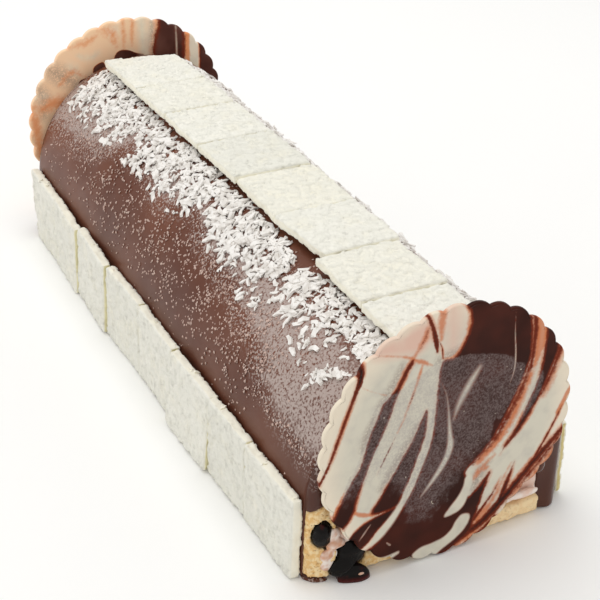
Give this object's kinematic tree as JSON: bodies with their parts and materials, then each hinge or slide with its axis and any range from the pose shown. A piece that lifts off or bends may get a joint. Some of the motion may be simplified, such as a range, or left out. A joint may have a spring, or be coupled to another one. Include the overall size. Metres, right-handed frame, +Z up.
{
  "type": "log cake",
  "caption": "Chocolate-coated log cake with a cream-filled sponge, white chocolate tiles along its sides and crest, grated coconut and a marbled chocolate plaque at each end.",
  "frame": {"origin": "on the ground, at the middle of the footprint", "axes": "+Z up, +Y along the log from the shown end to the far end, +X to the right as the shown end is faced"},
  "size_m": [0.1078, 0.2668, 0.0891],
  "materials": {
    "chocolate": "milk chocolate, satin, with grated coconut",
    "sponge": "open crumb, matte",
    "cream": "soft whipped cream",
    "cherry": "wet and glossy",
    "white_tile": "rough white chocolate and coconut",
    "plaque": "marbled dark and white chocolate, satin"
  },
  "bodies": {
    "root": {"chocolate_coat": "chocolate", "sponge": "sponge", "cream_filling": "cream", "cherry_strand_upper": "cherry", "cherry_strand_lower": "cherry", "left_tile_1": "white_tile", "left_tile_2": "white_tile", "left_tile_3": "white_tile", "left_tile_4": "white_tile", "left_tile_5": "white_tile", "left_tile_6": "white_tile", "left_tile_7": "white_tile", "left_tile_8": "white_tile", "right_tile_1": "white_tile", "right_tile_2": "white_tile", "right_tile_3": "white_tile", "right_tile_4": "white_tile", "right_tile_5": "white_tile", "right_tile_6": "white_tile", "right_tile_7": "white_tile", "right_tile_8": "white_tile", "top_tile_1": "white_tile", "top_tile_2": "white_tile", "top_tile_3": "white_tile", "top_tile_4": "white_tile", "top_tile_5": "white_tile", "top_tile_6": "white_tile", "top_tile_7": "white_tile", "top_tile_8": "white_tile", "front_plaque": "plaque", "back_plaque": "plaque"}
  },
  "joints": []
}
